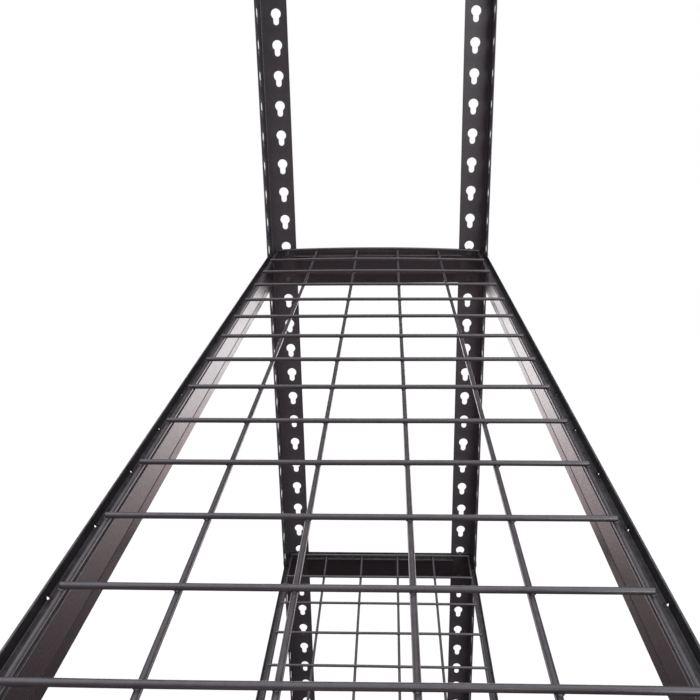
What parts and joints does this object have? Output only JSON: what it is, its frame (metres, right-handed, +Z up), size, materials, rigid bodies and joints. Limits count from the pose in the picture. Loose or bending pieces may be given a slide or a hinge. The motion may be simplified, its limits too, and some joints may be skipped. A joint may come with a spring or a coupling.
{
  "type": "boltless steel shelving",
  "caption": "Boltless steel shelving unit: keyhole-slotted angle posts, folded ledge beams that hook in by rivets, and lift-out welded wire decks.",
  "frame": {"origin": "on the floor, under the centre of the unit", "axes": "+X along the shelves to the right, +Y to the back, +Z up"},
  "size_m": [0.919, 0.3046, 1.527],
  "materials": {
    "post_coat": "satin black powder coat on keyhole-slotted steel angle",
    "beam_coat": "satin black powder coat on folded steel strip",
    "rivet_coat": "black powder coat on steel rivets, rubbed at the crown",
    "wire_coat": "semi-gloss black powder coat on welded steel wire",
    "foot_plastic": "black moulded plastic"
  },
  "bodies": {
    "frame": {"post_front_left": "post_coat", "post_front_right": "post_coat", "post_back_right": "post_coat", "post_back_left": "post_coat", "foot_front_left": "foot_plastic", "foot_front_right": "foot_plastic", "foot_back_right": "foot_plastic", "foot_back_left": "foot_plastic"},
    "shelf1_front_beam": {"beam_front_1": "beam_coat", "rivets_front_1": "rivet_coat"},
    "shelf1_right_beam": {"beam_right_1": "beam_coat", "rivets_right_1": "rivet_coat"},
    "shelf1_back_beam": {"beam_back_1": "beam_coat", "rivets_back_1": "rivet_coat"},
    "shelf1_left_beam": {"beam_left_1": "beam_coat", "rivets_left_1": "rivet_coat"},
    "shelf1_deck": {"deck_long_wires_1": "wire_coat", "deck_cross_wires_1": "wire_coat"},
    "shelf2_front_beam": {"beam_front_2": "beam_coat", "rivets_front_2": "rivet_coat"},
    "shelf2_right_beam": {"beam_right_2": "beam_coat", "rivets_right_2": "rivet_coat"},
    "shelf2_back_beam": {"beam_back_2": "beam_coat", "rivets_back_2": "rivet_coat"},
    "shelf2_left_beam": {"beam_left_2": "beam_coat", "rivets_left_2": "rivet_coat"},
    "shelf2_deck": {"deck_long_wires_2": "wire_coat", "deck_cross_wires_2": "wire_coat"},
    "shelf3_front_beam": {"beam_front_3": "beam_coat", "rivets_front_3": "rivet_coat"},
    "shelf3_right_beam": {"beam_right_3": "beam_coat", "rivets_right_3": "rivet_coat"},
    "shelf3_back_beam": {"beam_back_3": "beam_coat", "rivets_back_3": "rivet_coat"},
    "shelf3_left_beam": {"beam_left_3": "beam_coat", "rivets_left_3": "rivet_coat"},
    "shelf3_deck": {"deck_long_wires_3": "wire_coat", "deck_cross_wires_3": "wire_coat"},
    "shelf4_front_beam": {"beam_front_4": "beam_coat", "rivets_front_4": "rivet_coat"},
    "shelf4_right_beam": {"beam_right_4": "beam_coat", "rivets_right_4": "rivet_coat"},
    "shelf4_back_beam": {"beam_back_4": "beam_coat", "rivets_back_4": "rivet_coat"},
    "shelf4_left_beam": {"beam_left_4": "beam_coat", "rivets_left_4": "rivet_coat"},
    "shelf4_deck": {"deck_long_wires_4": "wire_coat", "deck_cross_wires_4": "wire_coat"}
  },
  "joints": [
    {"name": "shelf1_front_release", "type": "slide", "parent": "frame", "child": "shelf1_front_beam", "axis": [0, 0, 1], "range_m": [0, 0.0103]},
    {"name": "shelf1_right_release", "type": "slide", "parent": "frame", "child": "shelf1_right_beam", "axis": [0, 0, 1], "range_m": [0, 0.0103]},
    {"name": "shelf1_back_release", "type": "slide", "parent": "frame", "child": "shelf1_back_beam", "axis": [0, 0, 1], "range_m": [0, 0.0103]},
    {"name": "shelf1_left_release", "type": "slide", "parent": "frame", "child": "shelf1_left_beam", "axis": [0, 0, 1], "range_m": [0, 0.0103]},
    {"name": "shelf1_deck_lift", "type": "slide", "parent": "shelf1_front_beam", "child": "shelf1_deck", "axis": [0, 0, 1], "range_m": [0, 0.15]},
    {"name": "shelf2_front_release", "type": "slide", "parent": "frame", "child": "shelf2_front_beam", "axis": [0, 0, 1], "range_m": [0, 0.0103]},
    {"name": "shelf2_right_release", "type": "slide", "parent": "frame", "child": "shelf2_right_beam", "axis": [0, 0, 1], "range_m": [0, 0.0103]},
    {"name": "shelf2_back_release", "type": "slide", "parent": "frame", "child": "shelf2_back_beam", "axis": [0, 0, 1], "range_m": [0, 0.0103]},
    {"name": "shelf2_left_release", "type": "slide", "parent": "frame", "child": "shelf2_left_beam", "axis": [0, 0, 1], "range_m": [0, 0.0103]},
    {"name": "shelf2_deck_lift", "type": "slide", "parent": "shelf2_front_beam", "child": "shelf2_deck", "axis": [0, 0, 1], "range_m": [0, 0.15]},
    {"name": "shelf3_front_release", "type": "slide", "parent": "frame", "child": "shelf3_front_beam", "axis": [0, 0, 1], "range_m": [0, 0.0103]},
    {"name": "shelf3_right_release", "type": "slide", "parent": "frame", "child": "shelf3_right_beam", "axis": [0, 0, 1], "range_m": [0, 0.0103]},
    {"name": "shelf3_back_release", "type": "slide", "parent": "frame", "child": "shelf3_back_beam", "axis": [0, 0, 1], "range_m": [0, 0.0103]},
    {"name": "shelf3_left_release", "type": "slide", "parent": "frame", "child": "shelf3_left_beam", "axis": [0, 0, 1], "range_m": [0, 0.0103]},
    {"name": "shelf3_deck_lift", "type": "slide", "parent": "shelf3_front_beam", "child": "shelf3_deck", "axis": [0, 0, 1], "range_m": [0, 0.15]},
    {"name": "shelf4_front_release", "type": "slide", "parent": "frame", "child": "shelf4_front_beam", "axis": [0, 0, 1], "range_m": [0, 0.0103]},
    {"name": "shelf4_right_release", "type": "slide", "parent": "frame", "child": "shelf4_right_beam", "axis": [0, 0, 1], "range_m": [0, 0.0103]},
    {"name": "shelf4_back_release", "type": "slide", "parent": "frame", "child": "shelf4_back_beam", "axis": [0, 0, 1], "range_m": [0, 0.0103]},
    {"name": "shelf4_left_release", "type": "slide", "parent": "frame", "child": "shelf4_left_beam", "axis": [0, 0, 1], "range_m": [0, 0.0103]},
    {"name": "shelf4_deck_lift", "type": "slide", "parent": "shelf4_front_beam", "child": "shelf4_deck", "axis": [0, 0, 1], "range_m": [0, 0.15]}
  ],
  "couplings": [
    {"joint": "shelf1_right_release", "follows": "shelf1_front_release", "ratio": 1},
    {"joint": "shelf1_back_release", "follows": "shelf1_front_release", "ratio": 1},
    {"joint": "shelf1_left_release", "follows": "shelf1_front_release", "ratio": 1},
    {"joint": "shelf2_right_release", "follows": "shelf2_front_release", "ratio": 1},
    {"joint": "shelf2_back_release", "follows": "shelf2_front_release", "ratio": 1},
    {"joint": "shelf2_left_release", "follows": "shelf2_front_release", "ratio": 1},
    {"joint": "shelf3_right_release", "follows": "shelf3_front_release", "ratio": 1},
    {"joint": "shelf3_back_release", "follows": "shelf3_front_release", "ratio": 1},
    {"joint": "shelf3_left_release", "follows": "shelf3_front_release", "ratio": 1},
    {"joint": "shelf4_right_release", "follows": "shelf4_front_release", "ratio": 1},
    {"joint": "shelf4_back_release", "follows": "shelf4_front_release", "ratio": 1},
    {"joint": "shelf4_left_release", "follows": "shelf4_front_release", "ratio": 1}
  ]
}
